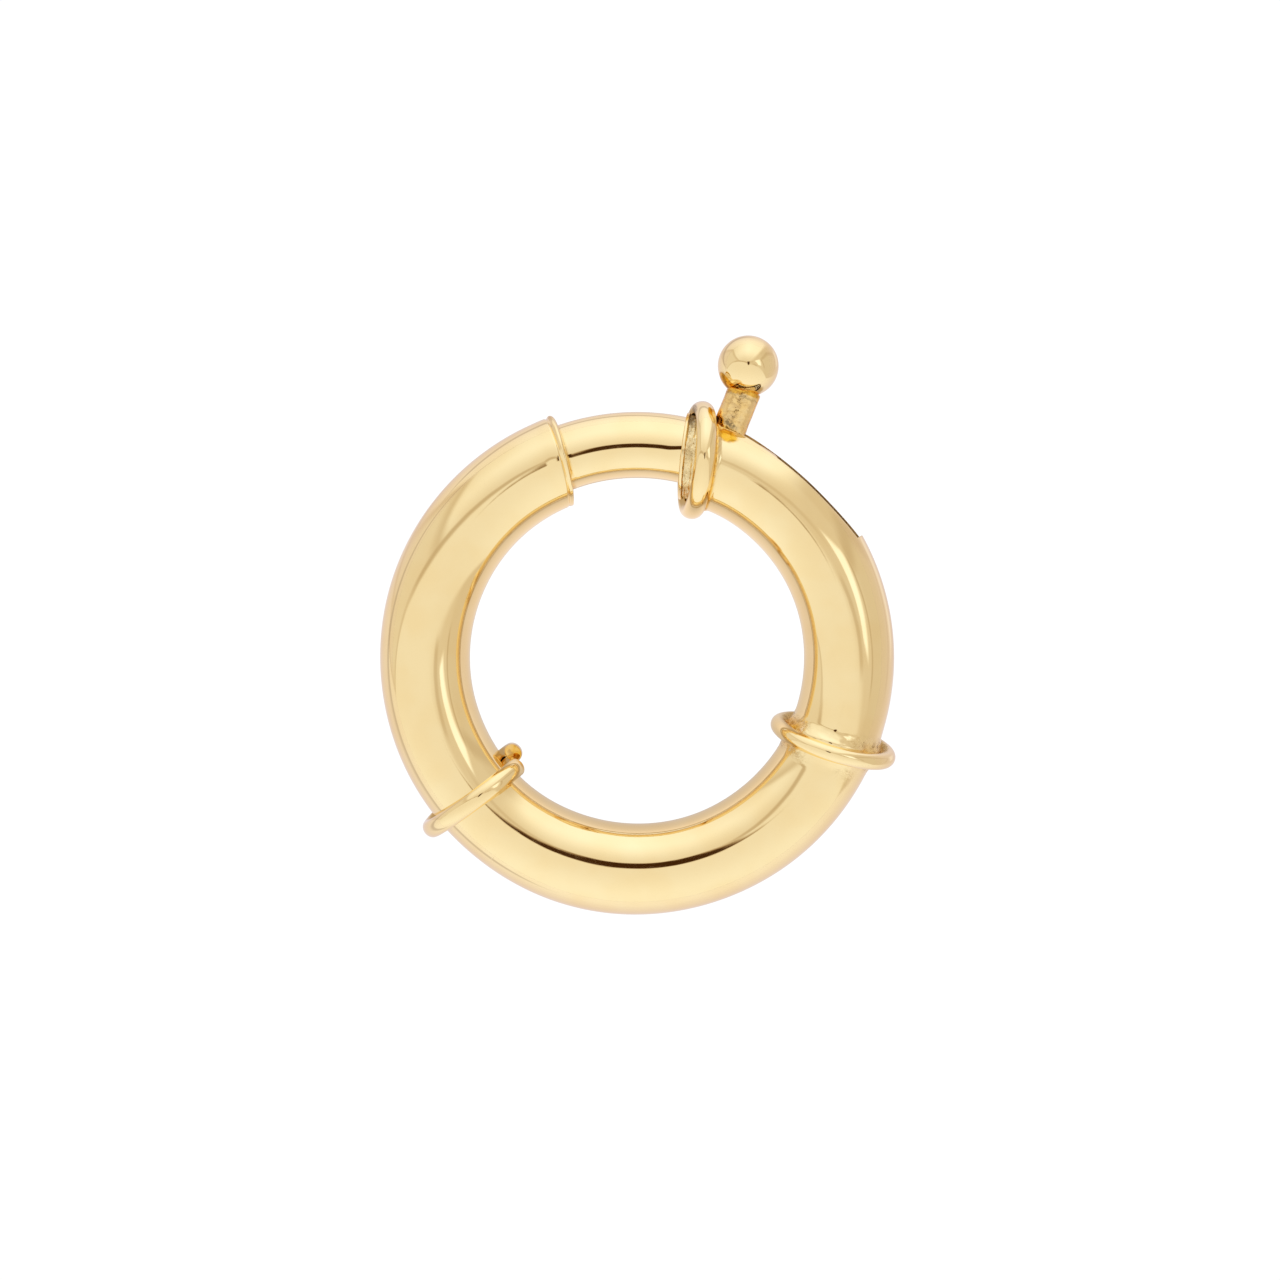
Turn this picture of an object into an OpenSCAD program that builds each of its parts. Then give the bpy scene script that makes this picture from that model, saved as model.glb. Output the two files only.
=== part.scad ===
// Spring ring clasp (sailor clasp): a hollow gold ring with a gap that a sprung, curved tongue closes.
// It lies flat: +Z is the ring's axis, and the origin is the middle of the ring, halfway up its tube.
// Angles go anticlockwise from +X. Lengths are millimetres.

/* [Ring tube] */
// Outside diameter of the ring
ring_od = 20; // [15:0.5:26]
// Outside diameter of the tube
tube_d = 3.5; // [2.6:0.1:4.5]
// Diameter of the bore that the tongue slides in
bore_d = 2.68; // [2:0.02:3.6]
// How much smaller the right arm's bend radius is than the ring's
right_arm_in = 0.27; // [0.02:0.01:0.3]
// How much smaller the left arm's bend radius is than the ring's
left_arm_in = 0.13; // [0.01:0.01:0.2]
// Angle of the spring's stop inside the tube
stop_a = -44; // [-60:1:-30]

/* [Gap] */
// Angle of the right end of the gap
right_end_a = 76.7; // [70:0.1:80]
// Lean of the right end's cut from radial
right_end_lean = 6.9; // [0:0.1:10]
// Angle of the left end of the gap
left_end_a = 110.3; // [100:0.1:116]
// Lean of the left end's cut from radial
left_end_lean = -5.1; // [-10:0.1:0]
// Thickness of the rounded lip at the left end
lip_d = 0.48; // [0.3:0.02:0.6]
// Diameter of the plain stub between the collar and the gap
stub_d = 3.32; // [3:0.02:3.4]

/* [Slot and lever] */
// Angle of the lever at rest
lever_a = 68; // [60:0.5:70]
// Angle of the far end of the slot
slot_end_a = 28.4; // [20:0.1:40]
// Width of the slot
slot_w = 1.9; // [1.4:0.05:2]
// Height of the slot's middle above the middle of the tube
slot_z = 0.08; // [0:0.01:0.2]
// Diameter of the lever's post
post_d = 1.32; // [0.8:0.02:1.6]
// Diameter of the ball
ball_d = 2.34; // [1.6:0.02:3]
// Distance of the ball's middle from the ring's middle
ball_at = 12.12; // [11:0.02:14]
// Sideways offset of the ball on its post
ball_off = 0.23; // [0:0.01:0.3]

/* [Tongue and spring] */
// Diameter of the tongue
tongue_d = 2.56; // [2:0.02:3.5]
// Angle of the tongue's tip at rest
tip_a = 113; // [111:0.1:116]
// Angle of the tongue's tail at rest
tail_a = 54; // [50:0.5:60]
// Diameter of the spring's wire
spring_wire = 0.22; // [0.15:0.01:0.3]
// Outside diameter of the spring
spring_od = 2.4; // [1.6:0.05:2.6]
// Number of turns in the spring
spring_turns = 17; // [10:1:24]

/* [Wire rings] */
// Diameter of the collar's wire
collar_wire = 0.65; // [0.4:0.01:0.8]
// Outside diameter of the collar
collar_od = 4.62; // [4:0.02:5]
// Diameter of the eye ring's wire
eye_wire = 0.64; // [0.4:0.01:0.8]
// Outside diameter of the eye ring
eye_od = 5.06; // [4.6:0.02:5.4]
// Diameter of the loose jump ring's wire
jump_wire = 0.6; // [0.4:0.01:0.8]
// Outside diameter of the loose jump ring
jump_od = 5; // [4.6:0.02:5.4]
// Sideways distance between the jump ring's two cut ends
jump_spread = 0.5; // [0:0.05:0.8]

/* [Hidden] */

$fn = 96;
gold = [0.93, 0.78, 0.42];
steel = [0.78, 0.76, 0.7];
ring_r = (ring_od - tube_d) / 2;
tube_r = tube_d / 2;
bore_r = bore_d / 2;
tongue_r = tongue_d / 2;
post_r = post_d / 2;
gap = 0.02;             // between pieces that are fixed to each other
collar_a = 72.7;        // the collar, next to the gap
collar_at = 8.02;
collar_lean = 11;
collar_tilt = 8.3;
collar_joint = 37;      // how far round the collar its closed wire joint lies
eye_a = -23.1;          // the soldered eye ring, on the lower right
eye_at = 8.29;
eye_z = 0.05;
eye_lean = 5.6;
eye_tilt = 12.7;
jump_a = 219.8;         // the loose jump ring, on the lower left
jump_at = 8.22;
jump_z = 0.1;
jump_tilt = -3;
jump_front_a = 150;     // where its two halves end, from its outer side
jump_back_a = 192;
// how far the post's side is, in degrees, where the slot's ends meet it
post_a = asin((post_r + 0.03) / (ring_r + sqrt(bore_r * bore_r - slot_w * slot_w / 4)));
slot_start_a = lever_a + post_a;

// Moves to a point on the ring: local X points outwards, Y anticlockwise along the tube
module at(a, r = ring_r, z = 0) rotate([0, 0, a]) translate([r, 0, z]) children();

// A bent rod of radius r from angle a0 to a1, on a bend of radius bend
module bent_rod(bend, r, a0, a1)
    rotate([0, 0, a0]) rotate_extrude(angle = a1 - a0) translate([bend, 0]) circle(r);

// Part of a wire ring round the tube, from p0 to p1 degrees round it, 0 on the outer side and 90 on top
module wire_ring(mean_r, wire_r, p0 = 0, p1 = 360)
    rotate([90, 0, 0]) rotate([0, 0, p0]) rotate_extrude(angle = p1 - p0)
        translate([mean_r, 0]) circle(wire_r);

// The right arm of the ring: a tighter bend that leaves the ring smoothly on the X axis
module arm(tighter, r, a0, a1)
    translate([tighter, 0, 0]) bent_rod(ring_r - tighter, r, a0, a1);

// Placement of the collar, of the eye ring and of the jump ring
module at_collar() at(collar_a, collar_at) rotate([collar_tilt, 0, collar_lean]) children();
module at_eye() at(eye_a, eye_at, eye_z) rotate([eye_tilt, 0, eye_lean]) children();
module at_jump() at(jump_a, jump_at, jump_z) rotate([jump_tilt, 0, 0]) children();

// The left and right ends of the gap: local -Y and +Y point into the gap
module at_left_end() at(left_end_a) rotate([6.2, 0, left_end_lean]) children();
module at_right_end() at(right_end_a, 7.97) rotate([-3.2, 0, right_end_lean]) children();

// What the gap takes out of the ring
module gap_space()
    intersection() {
        at_left_end() translate([-3.5, -5.88, -4]) cube([7, 6, 8]);
        at_right_end() translate([-3.5, 0, -4]) cube([7, 6, 8]);
    }

// The tube's outer form, with the thinner stub past the collar
module tube_form() {
    bent_rod(ring_r, tube_r, 180, 360);
    mirror([1, 0, 0]) arm(left_arm_in, tube_r, 0, 184 - left_end_a);
    difference() {
        arm(right_arm_in, tube_r, 0, right_end_a + 5);
        at_collar() translate([-3.5, 0.22, -4]) cube([7, 3, 8]);
    }
    arm(right_arm_in, stub_d / 2, collar_a - 6, right_end_a + 5);
}

// The slot in the outer side, which the lever's post slides along
module slot_space()
    rotate([0, 0, slot_end_a]) rotate_extrude(angle = slot_start_a - slot_end_a)
        translate([ring_r + 0.7, slot_z - slot_w / 2]) square([tube_r + 0.4, slot_w]);

// The tube with its slot, and the rounded lip of its left end
module lipped_tube() {
    lip_r = lip_d / 2;
    difference() {
        tube_form();
        gap_space();
        slot_space();
    }
    at_left_end() translate([-0.09, 0.24, 0]) wire_ring(tube_r + 0.05 - lip_r, lip_r);
}

// The same with the collar next to the gap
module collared_tube() {
    lipped_tube();
    at_collar() rotate([0, collar_joint, 0]) wire_ring((collar_od - collar_wire) / 2, collar_wire / 2);
}

// The eye ring, and its solder on the inner and outer sides of the tube
module soldered_eye()
    at_eye() {
        wire_ring((eye_od - eye_wire) / 2, eye_wire / 2);
        wire_ring(1.82, 0.2, 140, 222);
        wire_ring(1.82, 0.2, -40, 42);
    }

// Hollow gold tube with its two soldered wire rings
module ring_tube() color(gold)
    difference() {
        union() {
            collared_tube();
            soldered_eye();
        }
        bent_rod(ring_r, bore_r, 0, 180);
        mirror([0, 1, 0]) bent_rod(ring_r, bore_r, 0, -stop_a);
        bent_rod(ring_r, bore_r, 180, 360 + stop_a - 5);
    }

// Loose open ring: two halves that share its outer side and part at the inner side
module jump_ring() color(gold)
    at_jump() {
        mean = (jump_od - jump_wire) / 2;
        half = asin(jump_spread / 2 / (2 * mean));
        translate([mean, 0, 0]) rotate([0, 0, -half]) translate([-mean, 0, 0])
            wire_ring(mean, jump_wire / 2, 0, jump_front_a);
        translate([mean, 0, 0]) rotate([0, 0, half]) translate([-mean, 0, 0]) mirror([0, 0, 1])
            wire_ring(mean, jump_wire / 2, 0, jump_back_a);
    }

// Curved bolt with chamfered ends and a drilled hole for the post
module tongue() color(gold) {
    c = 0.18;
    ca = c / ring_r * 180 / PI;
    difference() {
        union() {
            bent_rod(ring_r, tongue_r, tail_a + ca, tip_a - ca);
            at(tip_a - ca) rotate([-90, 0, 0]) cylinder(h = c, r1 = tongue_r, r2 = tongue_r - c);
            at(tail_a + ca) rotate([90, 0, 0]) cylinder(h = c, r1 = tongue_r, r2 = tongue_r - c);
        }
        at(lever_a, ring_r + 0.1, slot_z) rotate([0, 90, 0]) cylinder(h = 2, r = post_r + gap);
    }
}

// Thumb lever: a round post with a ball on its end
module lever() color(gold)
    at(lever_a, 0, slot_z) {
        translate([ring_r + 0.1 + gap, 0, 0]) rotate([0, 90, 0])
            cylinder(h = ball_at - ring_r - 0.1 - gap, r = post_r);
        translate([ball_at, ball_off, 0]) sphere(ball_d / 2);
    }

// Coil spring, bent along the tube between the stop and the tongue's tail
spring_a0 = stop_a + 0.3;
spring_a1 = tail_a - 0.3;
spring_steps = 14;      // rings of the sweep in each turn
spring_sides = 6;       // sides of its wire
spring_mean = (spring_od - spring_wire) / 2;
spring_edge = spring_wire / 2 / ring_r * 180 / PI;
spring_n = spring_turns * spring_steps;
// the first and last turns lie close together, so the way along goes slowly there
function spring_way(t) = let (
        e = 1.4 / spring_turns,
        close = 1.1 * spring_edge * 2 / (spring_a1 - spring_a0 - 2 * spring_edge) * spring_turns,
        mid = (1 - 2 * e * close) / (1 - 2 * e)
    ) t < e ? t * close : t > 1 - e ? 1 - (1 - t) * close : e * close + (t - e) * mid;
function spring_at(t) = spring_a0 + spring_edge + (spring_a1 - spring_a0 - 2 * spring_edge) * spring_way(t);
function spring_mid(t) = let (a = spring_at(t), p = 360 * spring_turns * t)
    [(ring_r + spring_mean * cos(p)) * cos(a), (ring_r + spring_mean * cos(p)) * sin(a), spring_mean * sin(p)];
function spring_out(t) = let (a = spring_at(t), p = 360 * spring_turns * t)
    [cos(p) * cos(a), cos(p) * sin(a), sin(p)];
function unit(v) = v / norm(v);
function spring_side(t) = unit(cross(unit(spring_mid(t + 0.0005) - spring_mid(t - 0.0005)), spring_out(t)));

module spring() color(steel) {
    points = [for (i = [0:spring_n]) let (t = i / spring_n, m = spring_mid(t), o = spring_out(t), s = spring_side(t))
        for (k = [0:spring_sides - 1]) m + spring_wire / 2 * (cos(360 * k / spring_sides) * o + sin(360 * k / spring_sides) * s)];
    faces = concat(
        [for (i = [0:spring_n - 1]) for (k = [0:spring_sides - 1]) let (
            a = i * spring_sides + k, b = i * spring_sides + (k + 1) % spring_sides)
            each [[a, a + spring_sides, b], [b, a + spring_sides, b + spring_sides]]],
        [[for (k = [0:spring_sides - 1]) k]],
        [[for (k = [spring_sides - 1:-1:0]) spring_n * spring_sides + k]]
    );
    polyhedron(points, faces);
}

ring_tube();
jump_ring();
tongue();
lever();
spring();
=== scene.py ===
import math

import bpy
import numpy as np
from mathutils import Matrix, Vector, noise


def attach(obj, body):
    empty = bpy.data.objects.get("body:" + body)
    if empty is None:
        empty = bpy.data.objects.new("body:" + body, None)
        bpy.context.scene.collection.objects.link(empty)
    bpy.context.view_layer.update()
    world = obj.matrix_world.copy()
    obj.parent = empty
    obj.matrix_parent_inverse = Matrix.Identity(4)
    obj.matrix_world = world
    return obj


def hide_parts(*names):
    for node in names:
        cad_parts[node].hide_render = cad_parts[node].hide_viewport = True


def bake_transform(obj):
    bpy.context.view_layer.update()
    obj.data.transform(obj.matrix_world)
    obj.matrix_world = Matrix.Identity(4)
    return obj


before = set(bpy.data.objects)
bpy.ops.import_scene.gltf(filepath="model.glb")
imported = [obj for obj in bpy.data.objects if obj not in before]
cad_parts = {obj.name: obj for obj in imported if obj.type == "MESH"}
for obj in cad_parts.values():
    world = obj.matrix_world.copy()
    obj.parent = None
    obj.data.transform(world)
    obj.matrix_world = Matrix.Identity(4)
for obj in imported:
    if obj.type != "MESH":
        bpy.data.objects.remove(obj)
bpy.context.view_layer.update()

scene = bpy.context.scene

# The part's own sizes, in millimetres and degrees, as in its CAD
R0 = 8.25  # bend radius of the ring, its bore and its tongue
TUBE, BORE, BOLT = 1.75, 1.34, 1.28
LEFT_IN, RIGHT_IN = 0.13, 0.27
STOP, WALL = 316.0, 5.0
SLOT_Z = 0.08
SLOT_A0, SLOT_A1 = 389.17, 433.79  # the slot's ends on the right arm's own bend
LEVER = 68.0
TAIL, TIP = 54.0, 113.0
SPRING_WIRE, SPRING_OD, SPRING_TURNS = 0.22, 2.4, 17
SMALL = 0.001  # a millimetre

# ---------------------------------------------------------------- places


def rx(a):
    c, s = math.cos(math.radians(a)), math.sin(math.radians(a))
    return np.array([[1, 0, 0], [0, c, -s], [0, s, c]])


def rz(a):
    c, s = math.cos(math.radians(a)), math.sin(math.radians(a))
    return np.array([[c, -s, 0], [s, c, 0], [0, 0, 1]])


class Place:
    """A local frame on the ring: X points outwards, Y anticlockwise along the tube, Z up."""

    def __init__(self, a, r=R0, z=0.0, tilt=0.0, lean=0.0):
        self.m = rz(a) @ rz(lean) @ rx(tilt)
        self.o = rz(a) @ np.array([r, 0.0, z])

    def out(self, p):
        return np.asarray(p, float) @ self.m.T + self.o

    def local(self, p):
        return (np.asarray(p, float) - self.o) @ self.m


COLLAR = Place(72.7, 8.02, 0.0, 8.3, 11.0)
EYE = Place(-23.1, 8.29, 0.05, 12.7, 5.6)
JUMP = Place(219.8, 8.22, 0.1, -3.0, 0.0)
LEFT_END = Place(110.3, R0, 0.0, 6.2, -5.1)
RIGHT_END = Place(76.7, 7.97, 0.0, -3.2, 6.9)


def smooth(x, a, b):
    t = np.clip((np.asarray(x, float) - a) / (b - a), 0, 1)
    return t * t * (3 - 2 * t)


def bumps(p, scale, seed=0.0, octaves=3):
    """Smooth noise of about -1 to 1 at each point, with details about 1/scale mm across."""
    shift = Vector((seed * 7.3 + 11.0, seed * 3.1 - 4.0, seed * 5.7 + 2.0))
    return np.array(
        [
            noise.fractal(Vector(q) * scale + shift, 0.8, 2.1, octaves)
            for q in np.asarray(p, float).reshape(-1, 3)
        ]
    )


# ---------------------------------------------------------------- meshes


def grid(nu, nv, wrap_v=True, wrap_u=False, keep=None, flip=False, base=0):
    """Quads of a grid of points, row after row, as an array, and the row and column that each starts at."""
    ru, rv = nu if wrap_u else nu - 1, nv if wrap_v else nv - 1
    i, j = np.meshgrid(np.arange(ru), np.arange(rv), indexing="ij")
    i, j = i.ravel(), j.ravel()
    if keep is not None:
        k = keep(i, j)
        i, j = i[k], j[k]
    i2, j2 = (i + 1) % nu, (j + 1) % nv
    q = np.stack([i * nv + j, i2 * nv + j, i2 * nv + j2, i * nv + j2], axis=1) + base
    return (q[:, ::-1] if flip else q), i, j


def make(name, points, faces, material, uv=None, marks=None, sharp=None):
    """A mesh object in metres from points in millimetres. uv has a pair for each corner of each face, and marks a number for each point."""
    me = bpy.data.meshes.new(name)
    # only the points that a face uses
    points, faces = np.asarray(points, float), [list(f) for f in faces]
    used = np.zeros(len(points), bool)
    used[np.concatenate(faces)] = True
    at_new = np.cumsum(used) - 1
    me.from_pydata((points[used] * SMALL).tolist(), [], [at_new[f].tolist() for f in faces])
    if uv is not None:
        layer = me.uv_layers.new(name="along_around")
        layer.data.foreach_set("uv", np.asarray(uv, np.float32).ravel())
    for key, values in (marks or {}).items():
        at = me.attributes.new(key, "FLOAT", "POINT")
        at.data.foreach_set("value", np.asarray(values, np.float32)[used])
    me.validate(clean_customdata=False)
    me.polygons.foreach_set("use_smooth", [True] * len(me.polygons))
    me.update()
    if sharp is not None:
        me.set_sharp_from_angle(angle=math.radians(sharp))
    me.materials.append(material)
    o = bpy.data.objects.new(name, me)
    scene.collection.objects.link(o)
    return o


def sweep(centres, outs, ups, radii_out, radii_up, sides, caps=(True, True), turn=0.0):
    """A tube along centres. outs and ups are its section's two axes at each centre. Flat closed ends if caps. Returns
    points, faces and uv.
    """
    centres, outs, ups = (np.asarray(x, float) for x in (centres, outs, ups))
    n = len(centres)
    ro = np.broadcast_to(radii_out, (n,)).astype(float)
    ru = np.broadcast_to(radii_up, (n,)).astype(float)
    th = np.radians(np.arange(sides) * 360 / sides + turn)
    ring = (
        centres[:, None]
        + outs[:, None] * (ro[:, None, None] * np.cos(th)[None, :, None])
        + ups[:, None] * (ru[:, None, None] * np.sin(th)[None, :, None])
    )
    points = ring.reshape(-1, 3)
    quads, i, j = grid(n, sides)
    along = np.concatenate(
        [[0], np.cumsum(np.linalg.norm(np.diff(centres, axis=0), axis=1))]
    )
    girth = 2 * math.pi * float(np.mean(ro))
    u = np.stack([along[i], along[i + 1], along[i + 1], along[i]], axis=1)
    v = np.stack([j, j, j + 1, j + 1], axis=1) * girth / sides
    uv = [np.stack([u, v], axis=2).reshape(-1, 2)]
    faces = quads.tolist()
    ends = []
    for cap, row in zip(caps, (0, n - 1)):
        if not cap:
            continue
        middle = len(points) + len(ends)
        ends.append(centres[row])
        for k in range(sides):
            a, b = row * sides + k, row * sides + (k + 1) % sides
            faces.append((b, a, middle) if row else (a, b, middle))
            uv.append(
                np.array([[along[row], 0.0], [along[row], 0.1], [along[row], 0.05]])
            )
    if ends:
        points = np.vstack([points, ends])
    # point the faces outwards
    first = faces[0]
    p = points[list(first)]
    normal = np.cross(p[1] - p[0], p[2] - p[1])
    if np.dot(normal, p.mean(axis=0) - centres[0]) < 0:
        faces = [tuple(f)[::-1] for f in faces]
        flipped, k = [], 0
        stacked = np.vstack(uv)
        for f in faces:
            flipped.append(stacked[k : k + len(f)][::-1])
            k += len(f)
        uv = flipped
    return points, faces, np.vstack(uv)


def arc_frame(angles, bend=R0, centre=(0.0, 0.0)):
    a = np.radians(angles)
    out = np.stack([np.cos(a), np.sin(a), np.zeros_like(a)], axis=1)
    c = out * bend + np.array([centre[0], centre[1], 0.0])
    up = np.tile([0.0, 0.0, 1.0], (len(a), 1))
    return c, out, up


def ring_frame(place, mean, angles):
    p = np.radians(angles)
    out = np.stack([np.cos(p), np.zeros_like(p), np.sin(p)], axis=1)
    c = place.out(out * mean)
    axis = place.m @ np.array([0.0, 1.0, 0.0])
    return c, out @ place.m.T, np.tile(axis, (len(p), 1))


# ---------------------------------------------------------------- materials


class Net:
    """Short names for building a node tree."""

    def __init__(self, tree):
        self.t = tree
        tree.nodes.clear()

    def add(self, kind, **props):
        n = self.t.nodes.new(kind)
        for k, v in props.items():
            setattr(n, k, v)
        return n

    def put(self, socket, value):
        if isinstance(value, bpy.types.NodeSocket):
            self.t.links.new(value, socket)
        elif value is not None:
            socket.default_value = value

    def m(self, op, a, b=None, c=None, clamp=False):
        n = self.add("ShaderNodeMath", operation=op, use_clamp=clamp)
        for s, v in zip(n.inputs, (a, b, c)):
            self.put(s, v)
        return n.outputs[0]

    def ramp(self, x, a, b, lo=0.0, hi=1.0):
        n = self.add("ShaderNodeMapRange", interpolation_type="SMOOTHSTEP")
        for s, v in zip(n.inputs[:5], (x, a, b, lo, hi)):
            self.put(s, v)
        return n.outputs[0]

    def mix(self, t, a, b):
        """Numbers a to b."""
        n = self.add("ShaderNodeMix", data_type="FLOAT")
        self.put(n.inputs[0], t)
        self.put(n.inputs[2], a)
        self.put(n.inputs[3], b)
        return n.outputs[0]

    def blend(self, t, a, b):
        """Colours a to b."""
        n = self.add("ShaderNodeMix", data_type="RGBA")
        self.put(n.inputs[0], t)
        for s, v in ((n.inputs[6], a), (n.inputs[7], b)):
            self.put(s, (*v, 1.0) if isinstance(v, tuple) else v)
        return n.outputs[2]

    def noise(self, vector, scale, detail=2.0, rough=0.5, distort=0.0):
        n = self.add("ShaderNodeTexNoise")
        self.put(n.inputs["Vector"], vector)
        self.put(n.inputs["Scale"], scale)
        self.put(n.inputs["Detail"], detail)
        self.put(n.inputs["Roughness"], rough)
        self.put(n.inputs["Distortion"], distort)
        return n.outputs[0]

    def cells(self, vector, scale, feature="F1"):
        n = self.add("ShaderNodeTexVoronoi", feature=feature)
        self.put(n.inputs["Vector"], vector)
        self.put(n.inputs["Scale"], scale)
        return n.outputs["Distance"]

    def scaled(self, vector, by):
        n = self.add("ShaderNodeVectorMath", operation="MULTIPLY")
        self.put(n.inputs[0], vector)
        self.put(n.inputs[1], by)
        return n.outputs[0]

    def bump(self, height, distance, normal=None, strength=1.0):
        n = self.add("ShaderNodeBump")
        self.put(n.inputs["Strength"], strength)
        self.put(n.inputs["Distance"], distance)
        self.put(n.inputs["Height"], height)
        if normal is not None:
            self.put(n.inputs["Normal"], normal)
        return n.outputs[0]

    def mark(self, name):
        return self.add("ShaderNodeAttribute", attribute_name=name).outputs["Fac"]


GOLD = (0.975, 0.800, 0.455)
GOLD_WARM = (0.962, 0.768, 0.415)
# the two amber colours paint orange reflection of gold on gold in crevices; the darkest colour is soot in pits and
# painted contact shadow
AMBER_BOUNCE = (0.87, 0.47, 0.03)
AMBER_BOUNCE_DEEP = (0.56, 0.26, 0.02)
TARNISH = (0.50, 0.33, 0.13)
SOOT_AND_SHADE = (0.16, 0.11, 0.06)


def gold(name, polish=0.06, dull=0.0, marks=(), scratches=0.5, line=None, tones=None):
    """Polished yellow gold. marks names the point attributes it reads: worn, rough cast or soldered metal and tarnish;
    a mark of stains together with painted contact shadow; and a mark of amber tone with painted orange reflection of
    gold on gold in crevices.
    """
    mat = bpy.data.materials.new(name)
    mat.use_nodes = True
    n = Net(mat.node_tree)
    out = n.add("ShaderNodeOutputMaterial")
    b = n.add("ShaderNodeBsdfPrincipled")
    n.t.links.new(b.outputs[0], out.inputs[0])
    b.inputs["Metallic"].default_value = 1.0
    b.inputs["IOR"].default_value = 1.5
    co = n.add("ShaderNodeTexCoord")
    mm = n.scaled(co.outputs["Object"], (1000.0, 1000.0, 1000.0))
    uv = co.outputs["UV"]
    worn = n.mark("worn") if "worn" in marks else dull
    stain_and_shade = n.mark("stain_and_shade") if "stain_and_shade" in marks else 0.0

    cloud = n.noise(mm, 0.55, 2.0, 0.5)
    grain = n.noise(mm, 9.0, 3.0, 0.6)
    fine = n.noise(n.scaled(uv, (1.1, 34.0, 1.0)), 1.0, 3.0, 0.62)
    cross = n.noise(n.scaled(uv, (30.0, 1.6, 1.0)), 1.0, 2.0, 0.6)
    hair = n.ramp(fine, 0.60, 0.70)
    hair2 = n.ramp(cross, 0.66, 0.74)
    lines = n.m("MAXIMUM", hair, n.m("MULTIPLY", hair2, 0.35))
    pit = n.ramp(n.noise(mm, 7.0, 3.0, 0.55, 0.9), 0.36, 0.27)
    pit2 = n.ramp(n.noise(mm, 17.0, 2.0, 0.5, 0.6), 0.36, 0.28)
    blotch = n.noise(mm, 3.2, 4.0, 0.65, 0.6)

    # colour: a slow drift of the alloy's tone, brown in pits and stains, dark in painted contact shadows, orange in
    # painted crevice reflections
    colour = n.blend(n.ramp(cloud, 0.35, 0.68), *(tones or (GOLD, GOLD_WARM)))
    dark = n.m("MULTIPLY", worn, n.ramp(blotch, 0.42, 0.66))
    colour = n.blend(n.m("MULTIPLY", dark, 0.75), colour, TARNISH)
    soot_and_shade = n.m("MULTIPLY", worn, n.m("MULTIPLY", pit, n.ramp(blotch, 0.38, 0.58)))
    soot_and_shade = n.m("MAXIMUM", soot_and_shade, n.m("MULTIPLY", stain_and_shade, n.ramp(grain, 0.30, 0.52)))
    # painted orange reflection of gold on gold in crevices, and an amber tone of the metal
    if "amber_and_bounce" in marks:
        amber_bounce = n.m("MULTIPLY", n.mark("amber_and_bounce"), n.ramp(blotch, 0.30, 0.55, 0.92, 1.0))
        colour = n.blend(amber_bounce, colour, n.blend(n.ramp(blotch, 0.46, 0.62), AMBER_BOUNCE, AMBER_BOUNCE_DEEP))
    colour = n.blend(n.m("MULTIPLY", soot_and_shade, 0.8), colour, SOOT_AND_SHADE)
    n.put(b.inputs["Base Color"], colour)

    # roughness: polish, with hairlines, and dull where it is worn
    r = n.m("ADD", polish, n.m("MULTIPLY", n.ramp(cloud, 0.3, 0.7), 0.025))
    r = n.m("ADD", r, n.m("MULTIPLY", lines, 0.05 * scratches))
    r = n.m("ADD", r, n.m("MULTIPLY", worn, n.ramp(grain, 0.30, 0.70, 0.16, 0.40)))
    r = n.m("ADD", r, n.m("MULTIPLY", stain_and_shade, 0.30), clamp=True)
    n.put(b.inputs["Roughness"], r)

    # relief: the faint waves of hand polishing, hairlines, and pits
    normal = n.bump(n.noise(mm, 0.9, 1.0, 0.4), 2.2e-6)
    normal = n.bump(n.m("MULTIPLY", lines, scratches), 1.6e-7, normal)
    rugged = n.m(
        "MULTIPLY",
        worn,
        n.m("SUBTRACT", grain, n.m("MULTIPLY", n.m("MAXIMUM", pit, pit2), 0.8)),
    )
    normal = n.bump(rugged, 2.6e-5, normal)
    if line is not None:  # a hairline joint across the tube
        normal = n.bump(line(n, mm), 6.0e-6, normal)
    n.put(b.inputs["Normal"], normal)
    return mat


def steel(name):
    mat = bpy.data.materials.new(name)
    mat.use_nodes = True
    n = Net(mat.node_tree)
    out = n.add("ShaderNodeOutputMaterial")
    b = n.add("ShaderNodeBsdfPrincipled")
    n.t.links.new(b.outputs[0], out.inputs[0])
    b.inputs["Metallic"].default_value = 1.0
    co = n.add("ShaderNodeTexCoord")
    mm = n.scaled(co.outputs["Object"], (1000.0, 1000.0, 1000.0))
    streak = n.noise(n.scaled(co.outputs["UV"], (0.8, 40.0, 1.0)), 1.0, 3.0, 0.6)
    spot = n.noise(mm, 2.4, 3.0, 0.6)
    colour = n.blend(n.ramp(spot, 0.4, 0.7), (0.74, 0.72, 0.68), (0.55, 0.50, 0.42))
    n.put(b.inputs["Base Color"], colour)
    n.put(b.inputs["Roughness"], n.ramp(streak, 0.3, 0.7, 0.16, 0.34))
    n.put(b.inputs["Normal"], n.bump(streak, 6.0e-7))
    return mat


# ---------------------------------------------------------------- the hollow ring


def spine(a):
    """Centre of the tube's outer form, and its outward direction, at angle a of 110 to 437 degrees: the two arms bend a little tighter."""
    a = np.asarray(a, float)
    cx = np.where(a < 180, -LEFT_IN, np.where(a > 360, RIGHT_IN, 0.0))
    bend = np.where(a < 180, R0 - LEFT_IN, np.where(a > 360, R0 - RIGHT_IN, R0))
    t = np.radians(a)
    out = np.stack([np.cos(t), np.sin(t), np.zeros_like(t)], axis=-1)
    c = out * bend[..., None]
    c[..., 0] += cx
    return c, out


def skin(a, th, r):
    c, out = spine(a)
    t = np.radians(th)
    p = c + out * (r * np.cos(t))[..., None]
    p[..., 2] += r * np.sin(t)
    return p


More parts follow.
